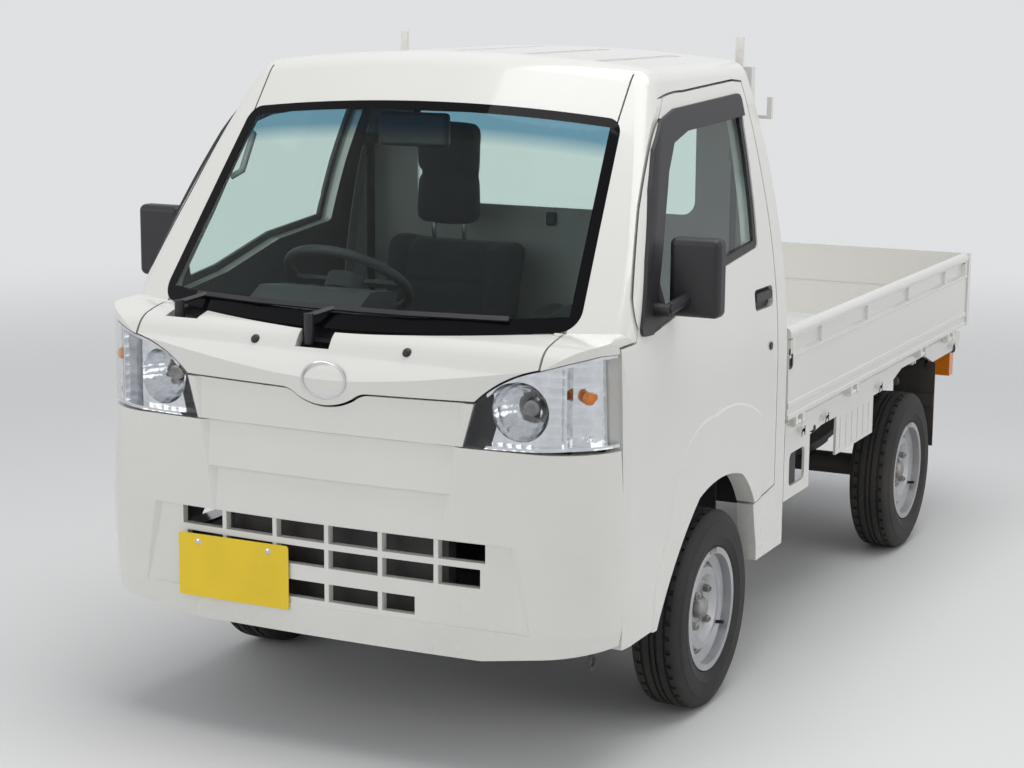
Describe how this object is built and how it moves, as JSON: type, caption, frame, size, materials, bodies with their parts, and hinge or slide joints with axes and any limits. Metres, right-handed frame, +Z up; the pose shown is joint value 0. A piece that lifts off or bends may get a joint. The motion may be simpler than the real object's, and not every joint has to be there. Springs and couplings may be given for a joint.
{
  "type": "kei pickup truck",
  "caption": "Small cab-over pickup truck with a two-seat cab, opening doors, a flat bed with three folding gates, and steered front wheels.",
  "frame": {"origin": "on the ground under the middle of the truck", "axes": "+Z up, the front faces -Y, the vehicle's left side is +X"},
  "size_m": [1.718, 3.395, 1.7799],
  "materials": {
    "body_paint": "gloss warm white paint",
    "chassis_paint": "satin black paint",
    "underbody": "bare cast metal, dull",
    "rim_paint": "silver paint",
    "tyre": "matte black",
    "glass": "clear, faint green",
    "lamp_glass": "clear",
    "lamp_inner": "bright reflector",
    "black_plastic": "fine grain",
    "cab_trim": "dark grey grain",
    "seat_fabric": "woven dark grey",
    "plate_paint": "yellow, blank",
    "lamp_red": "red lens"
  },
  "bodies": {
    "chassis": {"battery": "black_plastic", "bed_floor": "body_paint", "bed_rails": "body_paint", "bumper": "body_paint", "cab_back": "body_paint", "cab_floor": "cab_trim", "cab_side_left": "body_paint", "cab_side_right": "body_paint", "cowl": "black_plastic", "dashboard": "cab_trim", "engine": "underbody", "exhaust": "underbody", "frame": "chassis_paint", "front_garnish": "body_paint", "front_suspension": "chassis_paint", "fuel_tank": "chassis_paint", "guard_frame": "body_paint", "headlamp_lenses": "lamp_glass", "headlamps": "lamp_inner", "leaf_springs": "chassis_paint", "mudguards": "black_plastic", "number_plate": "plate_paint", "radiator": "chassis_paint", "rear_axle": "chassis_paint", "rear_window": "glass", "roof": "body_paint", "seat_left": "seat_fabric", "seat_right": "seat_fabric", "spare_wheel": "tyre", "tail_lamps": "lamp_red", "windscreen": "glass"},
    "hood": {"hood": "body_paint"},
    "door_left": {"door_left": "body_paint", "door_glass_left": "glass", "door_fittings_left": "black_plastic"},
    "door_right": {"door_right": "body_paint", "door_glass_right": "glass", "door_fittings_right": "black_plastic"},
    "gate_left": {"gate_left": "body_paint"},
    "gate_right": {"gate_right": "body_paint"},
    "gate_rear": {"gate_rear": "body_paint"},
    "knuckle_left": {"knuckle_left": "chassis_paint"},
    "knuckle_right": {"knuckle_right": "chassis_paint"},
    "tie_rods": {"tie_rods": "chassis_paint"},
    "steering_wheel": {"steering_wheel": "cab_trim"},
    "wheel_front_left": {"tyre_front_left": "tyre", "rim_front_left": "rim_paint"},
    "wheel_front_right": {"tyre_front_right": "tyre", "rim_front_right": "rim_paint"},
    "wheel_rear_left": {"tyre_rear_left": "tyre", "rim_rear_left": "rim_paint"},
    "wheel_rear_right": {"tyre_rear_right": "tyre", "rim_rear_right": "rim_paint"}
  },
  "joints": [
    {"name": "hood_hinge", "type": "hinge", "parent": "chassis", "child": "hood", "pos_m": [0, -1.541, 1.101], "axis": [-1, 0, 0], "range_deg": [0, 60]},
    {"name": "door_left_hinge", "type": "hinge", "parent": "chassis", "child": "door_left", "pos_m": [0.7295, -1.522, 0.9], "axis": [0, 0, -1], "range_deg": [0, 65]},
    {"name": "door_right_hinge", "type": "hinge", "parent": "chassis", "child": "door_right", "pos_m": [-0.7295, -1.522, 0.9], "axis": [0, 0, 1], "range_deg": [0, 65]},
    {"name": "gate_left_hinge", "type": "hinge", "parent": "chassis", "child": "gate_left", "pos_m": [0.728, 0.676, 0.672], "axis": [0, 1, 0], "range_deg": [0, 165]},
    {"name": "gate_right_hinge", "type": "hinge", "parent": "chassis", "child": "gate_right", "pos_m": [-0.728, 0.676, 0.672], "axis": [0, -1, 0], "range_deg": [0, 165]},
    {"name": "gate_rear_hinge", "type": "hinge", "parent": "chassis", "child": "gate_rear", "pos_m": [0, 1.6875, 0.672], "axis": [-1, 0, 0], "range_deg": [0, 165]},
    {"name": "kingpin_left", "type": "hinge", "parent": "chassis", "child": "knuckle_left", "pos_m": [0.6, -0.8775, 0.175], "axis": [-0.2044, 0, 0.9789], "range_deg": [-35, 35]},
    {"name": "kingpin_right", "type": "hinge", "parent": "chassis", "child": "knuckle_right", "pos_m": [-0.6, -0.8775, 0.175], "axis": [0.2044, 0, 0.9789], "range_deg": [-35, 35]},
    {"name": "steering_rack", "type": "slide", "parent": "chassis", "child": "tie_rods", "axis": [1, 0, 0], "range_m": [-0.053, 0.053]},
    {"name": "steering_shaft", "type": "hinge", "parent": "chassis", "child": "steering_wheel", "pos_m": [-0.3, -1.09, 1.08], "axis": [0, 0.5736, 0.8192], "range_deg": [-500, 500]},
    {"name": "wheel_front_left_spin", "type": "hinge", "parent": "knuckle_left", "child": "wheel_front_left", "pos_m": [0.6525, -0.8775, 0.2705], "axis": [1, 0, 0], "continuous": true},
    {"name": "wheel_front_right_spin", "type": "hinge", "parent": "knuckle_right", "child": "wheel_front_right", "pos_m": [-0.6525, -0.8775, 0.2705], "axis": [1, 0, 0], "continuous": true},
    {"name": "wheel_rear_left_spin", "type": "hinge", "parent": "chassis", "child": "wheel_rear_left", "pos_m": [0.65, 1.0225, 0.2705], "axis": [1, 0, 0], "continuous": true},
    {"name": "wheel_rear_right_spin", "type": "hinge", "parent": "chassis", "child": "wheel_rear_right", "pos_m": [-0.65, 1.0225, 0.2705], "axis": [1, 0, 0], "continuous": true}
  ],
  "couplings": [
    {"joint": "kingpin_right", "follows": "kingpin_left", "ratio": 1},
    {"joint": "steering_rack", "follows": "kingpin_left", "m_per_rad": -0.0845},
    {"joint": "steering_shaft", "follows": "kingpin_left", "ratio": 14}
  ]
}
